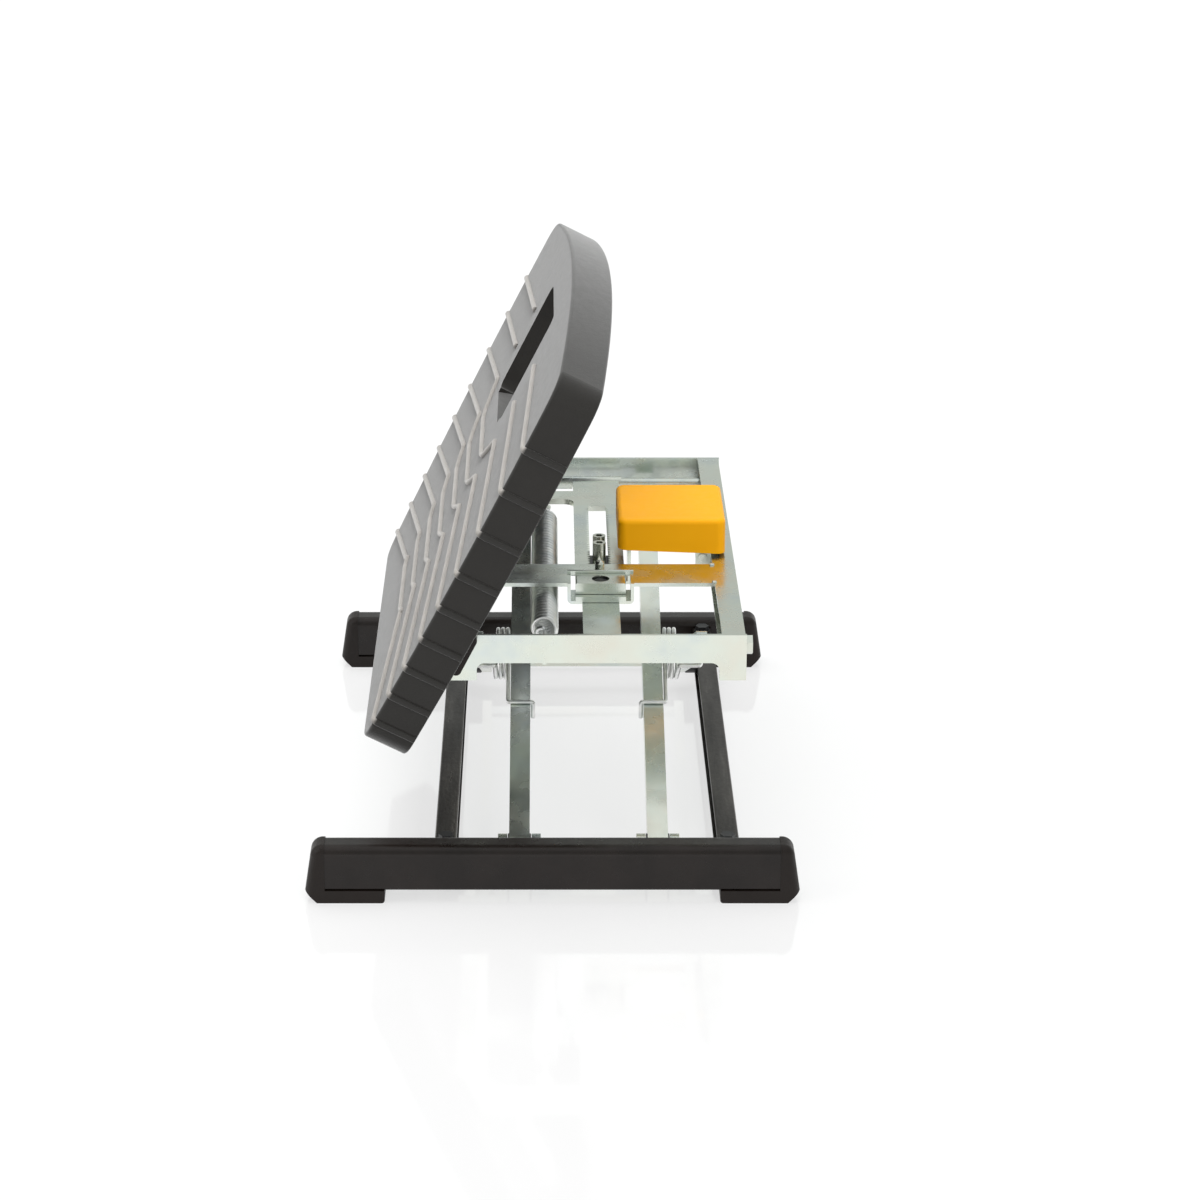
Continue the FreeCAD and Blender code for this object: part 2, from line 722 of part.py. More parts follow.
def toothed_slot():
    """The slot with a row of notches along both of its sides."""
    half = slot_width / 2
    count = int((slot_far_y - slot_near_y - 6.0) / tooth_pitch)
    points = [(rack_mid_x - half, slot_near_y), (rack_mid_x + half, slot_near_y)]
    for k in range(count):
        y = slot_near_y + 3.0 + k * tooth_pitch
        points.append((rack_mid_x + half, y))
        points.append((rack_mid_x + half + tooth_depth, y + 1.0))
        points.append((rack_mid_x + half, y + 4.0))
    points.append((rack_mid_x + half, slot_far_y))
    points.append((rack_mid_x - half, slot_far_y))
    for k in reversed(range(count)):
        y = slot_near_y + 3.0 + k * tooth_pitch
        points.append((rack_mid_x - half, y + 4.0))
        points.append((rack_mid_x - half - tooth_depth, y + 1.0))
        points.append((rack_mid_x - half, y))
    return prism_xy(points, rack_bottom - 1, rack_top + 1)


def rack_plate():
    """The toothed plate: its far edge is rolled round the rod, its strip is slotted."""
    shape = prism_xy(rack_outline(), rack_bottom, rack_top)
    inner_corner = [e for e in shape.Edges if isinstance(e.Curve, Part.Line)
                    and abs(e.Curve.Direction.z) > 0.9
                    and abs(e.CenterOfMass.y - head_near_y) < 0.1
                    and e.CenterOfMass.x > head_left_x + 1]
    shape = shape.makeFillet(8.0, inner_corner)
    shape = shape.cut(toothed_slot())
    x0, x1 = rack_mid_x - rack_width / 2, rack_mid_x + rack_width / 2
    shape = shape.fuse(box(x0, x1, far_y - rod_radius - 4.0, far_y, rack_bottom, rack_top))
    shape = shape.fuse(rod_x(x0, x1 + 2.5, far_y, high_z, rod_radius + sleeve_wall))
    shape = shape.cut(rod_x(head_left_x, x1 + 4.0, far_y, high_z, rod_radius + running_gap))
    return one_solid(shape.removeSplitter())


def spring_hook_bolt():
    """The screw under the plate's head that holds the lift spring's far hook."""
    y = head_near_y + 5.0
    bolt = rod_z(rack_bottom - 9.0, rack_bottom, spring_x(), y, 2.5)
    return one_solid(bolt.fuse(rod_z(rack_bottom - 11.0, rack_bottom - 9.0, spring_x(), y, 4.5)))


# ---------------------------------------------------------------- pedal

def pedal_pad():
    """A moulded cap with rounded corners, hollow underneath; its skirt is deeper on the right."""
    x0, x1 = pedal_left_x, pedal_right_x
    y0, y1 = pedal_near_y, pedal_far_y
    z0, z1 = pedal_bottom, pedal_bottom + pedal_height
    low = z0 - pedal_skirt_slope
    shape = box(x0, x1, y0, y1, low, z1)
    shape = round_edges(shape, 7.0, V(0, 0, 1))
    shape = shape.makeFillet(4.0, [e for e in shape.Edges if e.BoundBox.ZMin > z1 - 0.1])
    wall = pedal_wall
    room = box(x0 + wall, x1 - wall, y0 + wall, y1 - wall, low - 1, z1 - wall)
    room = round_edges(room, 4.0, V(0, 0, 1))
    below = [(x0 - 1, z0), (x1 + 1, low), (x1 + 1, low - 2), (x0 - 1, low - 2)]
    return shape.cut(room).cut(prism_xz(below, y0 - 1, y1 + 1))


def pedal_bosses():
    return [(x, y) for x in (pedal_left_x + 15.5, pedal_right_x - 27.0) for y in (-24.0, 24.0)]


def pedal_lever():
    """Pressed steel: a deck under the pad, two ears on the pivot, and an arm that
    steps down beside the rack plate and carries the pawl under it."""
    wall = pedal_wall
    t = lever_thickness
    deck_x0 = rack_mid_x + rack_width / 2 + 3.0
    deck_x1 = pedal_right_x - wall - 1.0
    y0, y1 = pedal_near_y + wall + 1.0, pedal_far_y - wall - 1.0
    z = pedal_bottom
    shape = box(deck_x0, deck_x1, y0, y1, z, z + t)
    for x, y in pedal_bosses():
        shape = shape.cut(rod_z(z - 1, z + t + 1, x, y, 2.0))
    riser = box(deck_x0, deck_x0 + t, pawl_near_y, pawl_far_y, lever_top - t, z)
    arm = box(rack_mid_x - 9.0, deck_x0 + t, pawl_near_y, pawl_far_y, lever_top - t, lever_top)
    shape = shape.fuse([riser, arm])
    for ear_y in (-ear_offset() - t, ear_offset()):
        ear = rod_y(ear_y, ear_y + t, pedal_pivot_x, pedal_pivot_z, 5.5)
        ear = ear.fuse(box(pedal_pivot_x - 5.5, pedal_pivot_x + 5.5, ear_y, ear_y + t, pedal_pivot_z, z))
        shape = shape.fuse(ear)
        shape = shape.cut(rod_y(ear_y - 1, ear_y + t + 1, pedal_pivot_x, pedal_pivot_z, 3.0 + running_gap))
    for y in screw_ys:
        shape = shape.cut(rod_z(lever_top - t - 1, lever_top + 1, rack_mid_x, y, 3.0))
    return one_solid(shape.removeSplitter())


def ear_offset():
    return 26.0


def pad_posts():
    """Moulded posts inside the pad that stand on the lever's deck."""
    posts = []
    top = pedal_bottom + pedal_height - pedal_wall
    for x, y in pedal_bosses():
        posts.append(rod_z(pedal_bottom + lever_thickness, top, x, y, 4.5)
                     .cut(rod_z(pedal_bottom, top - 4.0, x, y, 2.0)))
    return posts


def pad_screws():
    screws = []
    for x, y in pedal_bosses():
        screw = rod_z(pedal_bottom, pedal_bottom + 12.0, x, y, 2.0)
        screws.append(one_solid(screw.fuse(rod_z(pedal_bottom - 2.2, pedal_bottom, x, y, 3.8))))
    return Part.makeCompound(screws)


def pedal_with_posts():
    return one_solid(pedal_pad().fuse(pad_posts()).removeSplitter())


def pawl():
    """The toothed block under the rack's slot, screwed to the lever."""
    half = slot_width / 2 + tooth_depth - 0.4
    shape = box(rack_mid_x - half, rack_mid_x + half, pawl_near_y, pawl_far_y, lever_top, pawl_top)
    count = int((pawl_far_y - pawl_near_y) / tooth_pitch)
    for k in range(count):
        y = pawl_near_y + 1.5 + k * tooth_pitch
        for side in (-1, 1):
            root = rack_mid_x + side * (slot_width / 2 - 0.3)
            tip = rack_mid_x + side * (half + 1.0)
            notch = [(root, y + 1.0), (tip, y - 1.5), (tip, y + 3.5)]
            shape = shape.cut(prism_xy(notch, lever_top + 2.0, pawl_top + 1))
    for y in screw_ys:
        shape = shape.cut(rod_z(lever_top - 1, pawl_top + 1, rack_mid_x, y, 3.0))
    return one_solid(shape)


def pawl_screws():
    """Socket-head screws that stand up through the rack's slot."""
    head_top = frame_top + 6.5
    screws = []
    for y in screw_ys:
        screw = rod_z(lever_top - lever_thickness - 3.0, pawl_top, rack_mid_x, y, 3.0)
        screw = screw.fuse(rod_z(pawl_top, head_top, rack_mid_x, y, 5.1))
        socket = hexagon(3.0, V(rack_mid_x, y, head_top - 5.0), V(0, 0, 1), 6.0)
        screws.append(one_solid(screw.removeSplitter().cut(socket)))
    return Part.makeCompound(screws)


def pedal_lugs():
    """Two lugs welded to the right side channel that hold the pedal's pin."""
    x1 = frame_right - 1.0 - side_width
    lugs = []
    for y in (-lug_offset() - 3.0, lug_offset()):
        lug = box(pedal_pivot_x - 5.5, x1, y, y + 3.0, pedal_pivot_z - 6.5, frame_top)
        lugs.append(lug.cut(rod_y(y - 1, y + 4, pedal_pivot_x, pedal_pivot_z, 3.0)))
    return Part.makeCompound(lugs)


def lug_offset():
    return ear_offset() + lever_thickness + side_gap


def pedal_pin():
    end = lug_offset() + 3.0
    pin = rod_y(-end - 2.0, end + 1.5, pedal_pivot_x, pedal_pivot_z, 3.0)
    return one_solid(pin.fuse(rod_y(-end - 2.0, -end, pedal_pivot_x, pedal_pivot_z, 4.0)).removeSplitter())


def pedal_spring():
    """The torsion spring on the pedal's pin, with one leg under the deck."""
    coil = rod_y(-12.0, 12.0, pedal_pivot_x, pedal_pivot_z, 5.6)
    coil = coil.cut(rod_y(-13.0, 13.0, pedal_pivot_x, pedal_pivot_z, 3.8))
    deck = pedal_bottom
    leg = box(pedal_pivot_x - 34.0, pedal_pivot_x - 1.2, 10.2, 12.0, deck - 1.8, deck)
    riser = box(pedal_pivot_x - 3.0, pedal_pivot_x - 1.2, 10.2, 12.0, pedal_pivot_z + 4.2, deck)
    return one_solid(coil.fuse([leg, riser]).removeSplitter())


# ---------------------------------------------------------------- foot board

def lay_board(shape):
    """Turns a piece modelled flat (u, v, -depth) onto the hinge at the board's tilt."""
    shape.translate(V(-hinge_u, 0, hinge_depth))
    shape.rotate(V(0, 0, 0), V(0, 1, 0), -board_tilt)
    shape.translate(V(hinge_x, 0, hinge_z))
    return shape


def board_outline():
    """Straight front edge, gently bowed sides and a bowed back edge."""
    front, mid, back = board_front_half, board_mid_half, board_back_half
    corners = [V(0, -front, 0), V(board_back_u, -back, 0), V(board_back_u, back, 0), V(0, front, 0)]
    edges = [Part.Arc(corners[0], V(board_mid_u, -mid, 0), corners[1]).toShape(),
             Part.Arc(corners[1], V(board_length, 0, 0), corners[2]).toShape(),
             Part.Arc(corners[2], V(board_mid_u, mid, 0), corners[3]).toShape(),
             Part.makeLine(corners[3], corners[0])]
    return Part.Face(Part.Wire(edges))


def rounded_well(u0, u1, half, depth0, depth1, radius):
    shape = box(u0, u1, -half, half, -depth1, -depth0)
    return round_edges(shape, radius, V(0, 0, 1))


def opening_cut(margin):
    """The pedal's opening, with its front wall leaning back like a ramp."""
    shape = box(opening_front_u + ramp_run - margin, opening_back_u + margin, -opening_near_half - margin,
                opening_far_half + margin, -board_thickness - 1, 1)
    shape = round_edges(shape, opening_radius, V(0, 0, 1))
    if margin > 0:
        return shape
    ramp = [(opening_front_u - 0.3, 1.0), (opening_front_u + ramp_run + 1, 1.0),
            (opening_front_u + ramp_run + 1, -ramp_depth), (opening_front_u + ramp_run, -ramp_depth),
            (opening_front_u, 0.0)]
    return shape.fuse(prism_xz(ramp, opening_radius - opening_near_half, opening_far_half - opening_radius))


def board():
    """The moulded foot board: a slab with a well underneath for frame and plate."""
    shape = board_outline().extrude(V(0, 0, -board_thickness))
    corners = [e for e in shape.Edges if isinstance(e.Curve, Part.Line) and abs(e.Curve.Direction.z) > 0.9]
    front = [e for e in corners if e.CenterOfMass.x < 1]
    shape = shape.makeFillet(front_corner_radius, front)
    corners = [e for e in shape.Edges if isinstance(e.Curve, Part.Line) and abs(e.Curve.Direction.z) > 0.9]
    back = [e for e in corners if abs(e.CenterOfMass.x - board_back_u) < 1]
    shape = shape.makeFillet(back_corner_radius, back)
    rim = [e for e in shape.Edges if e.BoundBox.ZMin > -0.1]
    shape = shape.makeFillet(2.5, rim)
    rim = [e for e in shape.Edges if e.BoundBox.ZMax < -board_thickness + 0.1]
    shape = shape.makeFillet(2.0, rim)
    shape = shape.cut(rounded_well(well_front_u, well_back_u, well_half, board_skin,
                                   board_thickness + 1, 3.0))
    shape = shape.cut(opening_cut(0))
    for u, v in plate_screw_places():
        shape = shape.cut(rod_z(-board_skin - 0.01, -board_skin + 8.0, u, v, 2.5))
    for side in (-1, 1):
        for u in hinge_screw_us():
            y0, y1 = sorted((side * well_half, side * (well_half + 7.0)))
            shape = shape.cut(rod_y(y0, y1, u, -hinge_depth + 4.0, 2.5))
    return lay_board(one_solid(shape))


def plate_screw_places():
    return [(u, v) for u in (130.0, 196.0, 288.0) for v in (-190.0, -80.0, 80.0, 190.0)]


def board_plate():
    """The steel plate screwed under the board's skin, open round the pedal."""
    u0, u1 = well_front_u + 1.0, well_back_u - 1.0
    shape = rounded_well(u0, u1, well_half - 1.0, board_skin, board_skin + plate_thickness, 2.0)
    shape = shape.cut(opening_cut(3.0))
    for u, v in plate_screw_places():
        shape = shape.cut(rod_z(-board_skin - plate_thickness - 1, -board_skin + 1, u, v, 2.5))
    return lay_board(one_solid(shape))


def plate_screws():
    """Flat countersunk screws; their heads lie in the plate."""
    screws = []
    for u, v in plate_screw_places():
        screw = rod_z(-board_skin - plate_thickness, -board_skin + 8.0, u, v, 2.5)
        screws.append(lay_board(screw))
    return Part.makeCompound(screws)


def hinge_screw_us():
    return (hinge_u - 13.0, hinge_u + 13.0)


def hinge_block(side):
    """A black block in the well's side wall that clamps the hinge pin."""
    y0, y1 = sorted((side * (bar_outer_y + side_gap), side * well_half))
    low = board_thickness + 5.0
    top = board_skin + plate_thickness
    u0, u1 = hinge_u - 17.0, hinge_u + 17.0
    shape = box(u0, u1, y0, y1, -low, -top)
    shape = round_edges(shape, 4.0, V(0, 1, 0))
    shape = shape.cut(rod_y(y0 - 1, y1 + 1, hinge_u, -hinge_depth, hinge_pin_radius))
    for u in hinge_screw_us():
        shape = shape.cut(rod_y(y0 - 1, y1 + 1, u, -hinge_depth + 4.0, 2.5))
    return lay_board(one_solid(shape))


def hinge_pins():
    """Short pins fixed in the hinge blocks, turning in the frame's bars."""
    pins = []
    for side in (-1, 1):
        y0, y1 = sorted((side * (bar_inner_y + 0.1), side * well_half))
        pins.append(rod_y(y0, y1, hinge_x, hinge_z, hinge_pin_radius))
    return Part.makeCompound(pins)


def hinge_screws():
    screws = []
    for side in (-1, 1):
        for u in hinge_screw_us():
            y0, y1 = sorted((side * (bar_outer_y + side_gap), side * (well_half + 7.0)))
            screws.append(lay_board(rod_y(y0, y1, u, -hinge_depth + 4.0, 2.5)))
    return Part.makeCompound(screws)


# ---------------------------------------------------------------- export

nodes = {
    "skid_near": skid_tube(-skid_y),
    "skid_far": skid_tube(skid_y),
    "end_cap_near_left": end_cap(-1, -skid_y),
    "end_cap_near_right": end_cap(1, -skid_y),
    "end_cap_far_left": end_cap(-1, skid_y),
    "end_cap_far_right": end_cap(1, skid_y),
    "foot_pads": foot_pads(),
    "cross_bar_left": cross_bar(channel_left_x, -1),
    "cross_bar_right": cross_bar(channel_right_x, 1),
    "skid_lugs": rail_lugs(),
    "cross_bar_bolts": cross_bar_bolts(),
    "lower_pivot_shaft": lower_pivot_shaft(),
    "lower_shaft_nuts": lower_shaft_nuts(),
    "lower_shaft_collars": lower_shaft_collars(),
    "inner_arm_left": inner_arm(inner_left_x),
    "inner_arm_right": inner_arm(inner_right_x),
    "arm_bushes": arm_bushes(),
    "centre_pins": centre_pins(),
    "torsion_spring_left": torsion_spring(inner_left_x, -1),
    "torsion_spring_right": torsion_spring(inner_right_x, 1),
    "slider_rod": slider_rod(),
    "rod_tube": rod_tube(),
    "upper_glides": upper_glides(),
    "outer_arm_left": outer_arm(outer_left_x),
    "outer_arm_right": outer_arm(outer_right_x),
    "glide_axle": glide_axle(),
    "lower_glides": lower_glides(),
    "frame_bar_near": frame_bar(-1),
    "frame_bar_far": frame_bar(1),
    "frame_side_left": side_channel(-1),
    "frame_side_right": side_channel(1),
    "cross_strip": cross_strip(),
    "rack_guide": rack_guide(),
    "rack_support": rack_support(),
    "guide_block": guide_block(),
    "guide_plunger": guide_plunger(),
    "guide_pin": guide_pin(),
    "pivot_bolts": pivot_bolts(),
    "pivot_sleeves": pivot_sleeves(),
    "spring_anchor": spring_anchor(),
    "lift_spring": lift_spring(),
    "rack_plate": rack_plate(),
    "spring_hook_bolt": spring_hook_bolt(),
    "pedal_pad": pedal_with_posts(),
    "pad_screws": pad_screws(),
    "pedal_lever": pedal_lever(),
    "pedal_lugs": pedal_lugs(),
    "pedal_pin": pedal_pin(),
    "pedal_spring": pedal_spring(),
    "pawl": pawl(),
    "pawl_screws": pawl_screws(),
    "foot_board": board(),
    "board_plate": board_plate(),
    "plate_screws": plate_screws(),
    "hinge_block_near": hinge_block(-1),
    "hinge_block_far": hinge_block(1),
    "hinge_pins": hinge_pins(),
    "hinge_screws": hinge_screws(),
}

os.makedirs("parts", exist_ok=True)
for name, shape in nodes.items():
    shape.exportStep("parts/" + name + ".step")
    state = "ok" if shape.isValid() else "INVALID"
    print(name, len(shape.Solids), round(shape.Volume), state)
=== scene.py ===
import bmesh
import bpy
import json
import math
import numpy as np
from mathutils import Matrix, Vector


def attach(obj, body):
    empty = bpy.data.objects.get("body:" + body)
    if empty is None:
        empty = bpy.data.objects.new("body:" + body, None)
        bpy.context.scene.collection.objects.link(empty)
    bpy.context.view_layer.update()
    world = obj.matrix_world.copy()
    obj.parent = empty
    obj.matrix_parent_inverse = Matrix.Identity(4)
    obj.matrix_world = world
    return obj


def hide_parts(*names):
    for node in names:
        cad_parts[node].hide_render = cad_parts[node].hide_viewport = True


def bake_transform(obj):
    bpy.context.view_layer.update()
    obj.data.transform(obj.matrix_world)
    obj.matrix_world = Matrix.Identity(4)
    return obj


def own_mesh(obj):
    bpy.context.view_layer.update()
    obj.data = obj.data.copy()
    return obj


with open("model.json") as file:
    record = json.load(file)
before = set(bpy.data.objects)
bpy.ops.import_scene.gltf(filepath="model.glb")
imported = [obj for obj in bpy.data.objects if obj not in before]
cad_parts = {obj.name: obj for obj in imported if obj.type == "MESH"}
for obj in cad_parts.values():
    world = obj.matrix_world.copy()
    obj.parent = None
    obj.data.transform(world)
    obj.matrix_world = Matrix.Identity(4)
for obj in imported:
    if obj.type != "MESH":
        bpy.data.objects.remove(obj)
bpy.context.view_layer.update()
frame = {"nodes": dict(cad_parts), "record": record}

slotOfNode = {entry["node"]: entry["material_slot"] for entry in frame["record"]["subparts"]}
print("frame loaded:", len(slotOfNode), "pieces")


# materials: every pattern is on object coordinates, in metres

def newMaterial(name):
    material = bpy.data.materials.new(name)
    material.use_nodes = True
    tree = material.node_tree
    shader = tree.nodes["Principled BSDF"]
    return material, tree, shader


def addNode(tree, kind, settings=None, **inputs):
    node = tree.nodes.new(kind)
    for key, value in (settings or {}).items():
        setattr(node, key, value)
    for key, value in inputs.items():
        node.inputs[key.replace("_", " ")].default_value = value
    return node


def objectPoint(tree, stretch=(1, 1, 1)):
    coord = tree.nodes.new("ShaderNodeTexCoord")
    mapping = tree.nodes.new("ShaderNodeMapping")
    mapping.inputs["Scale"].default_value = stretch
    tree.links.new(coord.outputs["Object"], mapping.inputs["Vector"])
    return mapping.outputs["Vector"]


def noiseOn(tree, scale, detail=4.0, stretch=(1, 1, 1), rough=0.5):
    noise = addNode(tree, "ShaderNodeTexNoise", None, Scale=scale, Detail=detail, Roughness=rough)
    tree.links.new(objectPoint(tree, stretch), noise.inputs["Vector"])
    return noise.outputs["Fac"]


def rampOn(tree, source, stops):
    ramp = tree.nodes.new("ShaderNodeValToRGB")
    elements = ramp.color_ramp.elements
    while len(elements) < len(stops):
        elements.new(0.5)
    for element, (place, color) in zip(elements, stops):
        element.position = place
        element.color = (*color, 1) if len(color) == 3 else color
    tree.links.new(source, ramp.inputs["Fac"])
    return ramp.outputs["Color"]


def rangeOn(tree, source, low, high, newLow, newHigh):
    node = tree.nodes.new("ShaderNodeMapRange")
    for key, value in (("From Min", low), ("From Max", high), ("To Min", newLow), ("To Max", newHigh)):
        node.inputs[key].default_value = value
    tree.links.new(source, node.inputs["Value"])
    return node.outputs["Result"]


def bumpOn(tree, shader, source, strength, distance, under=None):
    bump = addNode(tree, "ShaderNodeBump", None, Strength=strength, Distance=distance)
    tree.links.new(source, bump.inputs["Height"])
    if under is not None:
        tree.links.new(under, bump.inputs["Normal"])
    tree.links.new(bump.outputs["Normal"], shader.inputs["Normal"])
    return bump.outputs["Normal"]


zinc = {"pale": (0.75, 0.79, 0.71), "cool": (0.66, 0.72, 0.71), "warm": (0.76, 0.75, 0.66),
        "roughLow": 0.16, "roughHigh": 0.34, "cloud": 14.0, "speckle": 900.0}


def makeZinc(name, stretch=(1, 1, 1), shade=1.0):
    # plated steel: cloudy pale, bluish and straw tints, slow waves and a fine speckle
    material, tree, shader = newMaterial(name)
    shader.inputs["Metallic"].default_value = 1.0
    cloud = noiseOn(tree, zinc["cloud"], 5.0, stretch, 0.6)
    tint = [tuple(shade * c for c in zinc[key]) for key in ("cool", "pale", "warm")]
    color = rampOn(tree, cloud, [(0.34, tint[0]), (0.50, tint[1]), (0.68, tint[2])])
    tree.links.new(color, shader.inputs["Base Color"])
    patch = noiseOn(tree, 45.0, 4.0, stretch)
    tree.links.new(rangeOn(tree, patch, 0.3, 0.7, zinc["roughLow"], zinc["roughHigh"]),
                   shader.inputs["Roughness"])
    waves = bumpOn(tree, shader, noiseOn(tree, 20.0, 1.0, stretch), 0.05, 0.004)
    bumpOn(tree, shader, noiseOn(tree, zinc["speckle"], 2.0), 0.02, 0.0003, waves)
    return material


def makePaint(name, color, rough, coat, speckle):
    # stoved paint: near-even colour, faint orange peel, a little dust in the roughness
    material, tree, shader = newMaterial(name)
    cloud = noiseOn(tree, 30.0, 6.0)
    dark = tuple(0.8 * c for c in color)
    light = tuple(min(1.0, 1.25 * c + 0.002) for c in color)
    tree.links.new(rampOn(tree, cloud, [(0.35, dark), (0.65, light)]), shader.inputs["Base Color"])
    tree.links.new(rangeOn(tree, noiseOn(tree, 90.0), 0.3, 0.7, rough - 0.05, rough + 0.07),
                   shader.inputs["Roughness"])
    shader.inputs["Coat Weight"].default_value = coat
    shader.inputs["Specular IOR Level"].default_value = 0.34
    shader.inputs["Coat Roughness"].default_value = 0.12
    peel = bumpOn(tree, shader, noiseOn(tree, 260.0, 2.0), 0.10, 0.0006)
    bumpOn(tree, shader, noiseOn(tree, speckle, 2.0), 0.08, 0.0003, peel)
    return material


def makeDarkSteel(name):
    # dark bronze-grey channel with long drawn streaks
    material, tree, shader = newMaterial(name)
    shader.inputs["Metallic"].default_value = 0.75
    streak = noiseOn(tree, 60.0, 6.0, (1.0, 0.12, 1.0), 0.65)
    stops = [(0.3, (0.022, 0.019, 0.017)), (0.55, (0.055, 0.048, 0.043)), (0.75, (0.15, 0.135, 0.12))]
    color = rampOn(tree, streak, stops)
    tree.links.new(color, shader.inputs["Base Color"])
    tree.links.new(rangeOn(tree, streak, 0.3, 0.7, 0.42, 0.24), shader.inputs["Roughness"])
    bumpOn(tree, shader, noiseOn(tree, 420.0, 3.0, (1.0, 0.4, 1.0)), 0.25, 0.0008)
    return material


def makePlastic(name, color, rough, grain, grainDepth, spread=0.06, sheen=0.0, gloss=0.5):
    # moulded plastic: fine spark-eroded grain and a faint cloud in the colour
    material, tree, shader = newMaterial(name)
    cloud = noiseOn(tree, 22.0, 5.0)
    dark = tuple(c * (1 - spread) for c in color)
    light = tuple(min(1.0, c * (1 + spread)) for c in color)
    tree.links.new(rampOn(tree, cloud, [(0.35, dark), (0.65, light)]), shader.inputs["Base Color"])
    tree.links.new(rangeOn(tree, noiseOn(tree, 160.0), 0.3, 0.7, rough - 0.04, rough + 0.05),
                   shader.inputs["Roughness"])
    shader.inputs["Specular IOR Level"].default_value = gloss
    shader.inputs["Sheen Weight"].default_value = sheen
    shader.inputs["Sheen Roughness"].default_value = 0.4
    bumpOn(tree, shader, noiseOn(tree, grain, 3.0), 0.35, grainDepth)
    return material


def makeWire(name):
    # drawn spring wire: bright, a little cloudy, with a very fine grain
    material, tree, shader = newMaterial(name)
    shader.inputs["Metallic"].default_value = 1.0
    cloud = noiseOn(tree, 70.0, 4.0)
    tree.links.new(rampOn(tree, cloud, [(0.3, (0.72, 0.74, 0.74)), (0.6, (0.90, 0.90, 0.88))]),
                   shader.inputs["Base Color"])
    shader.inputs["Roughness"].default_value = 0.32
    bumpOn(tree, shader, noiseOn(tree, 1500.0, 2.0), 0.06, 0.0003)
    return material


finishes = {
    "skid_paint": makePaint("skidPaint", (0.0080, 0.0048, 0.0036), 0.30, 0.03, 1200.0),
    "dark_paint": makeDarkSteel("crossBarSteel"),
    "black_plastic": makePlastic("blackPlastic", (0.0110, 0.0075, 0.0060), 0.44, 1400.0, 0.0005, 0.10,
                                 0.0, 0.28),
    "rubber_pad": makePlastic("padRubber", (0.012, 0.012, 0.012), 0.72, 900.0, 0.0006, 0.10),
    "zinc": makeZinc("zincPlate"),
    "bright_steel": makeZinc("boltSteel", (2, 2, 2), 0.92),
    "spring_steel": makeWire("springWire"),
    "black_steel": makePaint("blackSteel", (0.012, 0.012, 0.013), 0.4, 0.1, 1500.0),
    "nylon": makePlastic("nylon", (0.020, 0.020, 0.020), 0.36, 1200.0, 0.0002, 0.03),
    "yellow_pedal": makePlastic("pedalYellow", (1.0, 0.44, 0.001), 0.48, 1500.0, 0.00025, 0.02, 0.0, 0.22),
    "board_foam": makePlastic("boardFoam", (0.020, 0.0185, 0.0165), 0.42, 700.0, 0.0005, 0.05, 0.50, 0.28),
}


def makeRibs(name, wallColor, highlightColor):
    # painted highlight: the ribs are coloured pale where they cross the top, and stay the board's own dark
    # colour down the side wall
    material = makePlastic(name, wallColor, 0.42, 700.0, 0.0005, 0.05, 0.4, 0.35)
    tree = material.node_tree
    shader = tree.nodes["Principled BSDF"]
    link = shader.inputs["Base Color"].links[0]
    wall = link.from_socket
    tree.links.remove(link)
    # mask for the painted highlight on the rib tops
    topHighlight = addNode(tree, "ShaderNodeAttribute", {"attribute_name": "topHighlight"})
    # the pale top colour is a painted highlight, mottled between a dimmer and a full tone
    dimHighlight = tuple(0.9 * c for c in highlightColor)
    pale = rampOn(tree, noiseOn(tree, 60.0, 4.0), [(0.35, dimHighlight), (0.65, highlightColor)])
    blend = addNode(tree, "ShaderNodeMix", {"data_type": "RGBA"})
    tree.links.new(topHighlight.outputs["Fac"], blend.inputs["Factor"])
    tree.links.new(wall, blend.inputs["A"])
    tree.links.new(pale, blend.inputs["B"])
    tree.links.new(blend.outputs["Result"], shader.inputs["Base Color"])
    return material


for nodeName, nodeObject in frame["nodes"].items():
    finish = finishes[slotOfNode[nodeName]]
    nodeObject.data.materials.clear()
    nodeObject.data.materials.append(finish)
print("materials set")


# surfaces

def addPiece(name, points, faces, slotName, body):
    mesh = bpy.data.meshes.new(name)
    mesh.from_pydata(points.tolist(), [], faces)
    mesh.validate()
    mesh.polygons.foreach_set("use_smooth", [True] * len(mesh.polygons))
    mesh.materials.append(finishes[slotName])
    piece = bpy.data.objects.new(name, mesh)
    bpy.context.scene.collection.objects.link(piece)
    if body:
        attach(piece, body)
    return piece


def gridFaces(rows, columns):
    # quads between neighbouring rings, where the last column joins the first, and a cap at each end
    row, column = np.meshgrid(np.arange(rows - 1), np.arange(columns), indexing="ij")
    after = (column + 1) % columns
    quads = np.stack([row * columns + column, row * columns + after,
                      (row + 1) * columns + after, (row + 1) * columns + column], axis=-1)
    faces = quads.reshape(-1, 4).tolist()
    faces.append(list(range(columns))[::-1])
    faces.append(list(range((rows - 1) * columns, rows * columns)))
    return faces


def unit(v):
    return v / np.maximum(np.linalg.norm(v, axis=-1, keepdims=True), 1e-12)


def sweep(path, side, profile):
    # ring j of the surface is path[j] + profile x along the side direction made square to the
    # path, + profile y along the direction square to both
    tangent = unit(np.gradient(path, axis=0))
    across = unit(side - (side * tangent).sum(1, keepdims=True) * tangent)
    upward = np.cross(tangent, across)
    rings = path[:, None, :] + profile[..., 0:1] * across[:, None, :] + profile[..., 1:2] * upward[:, None, :]
    return rings.reshape(-1, 3), gridFaces(len(path), profile.shape[-2])


def roundProfile(count, radius, sides):
    # the same circle for every ring
    angle = np.linspace(0, 2 * np.pi, sides, endpoint=False)
    circle = np.stack([np.cos(angle), np.sin(angle)], axis=-1)
    return np.tile(radius * circle, (count, 1, 1))


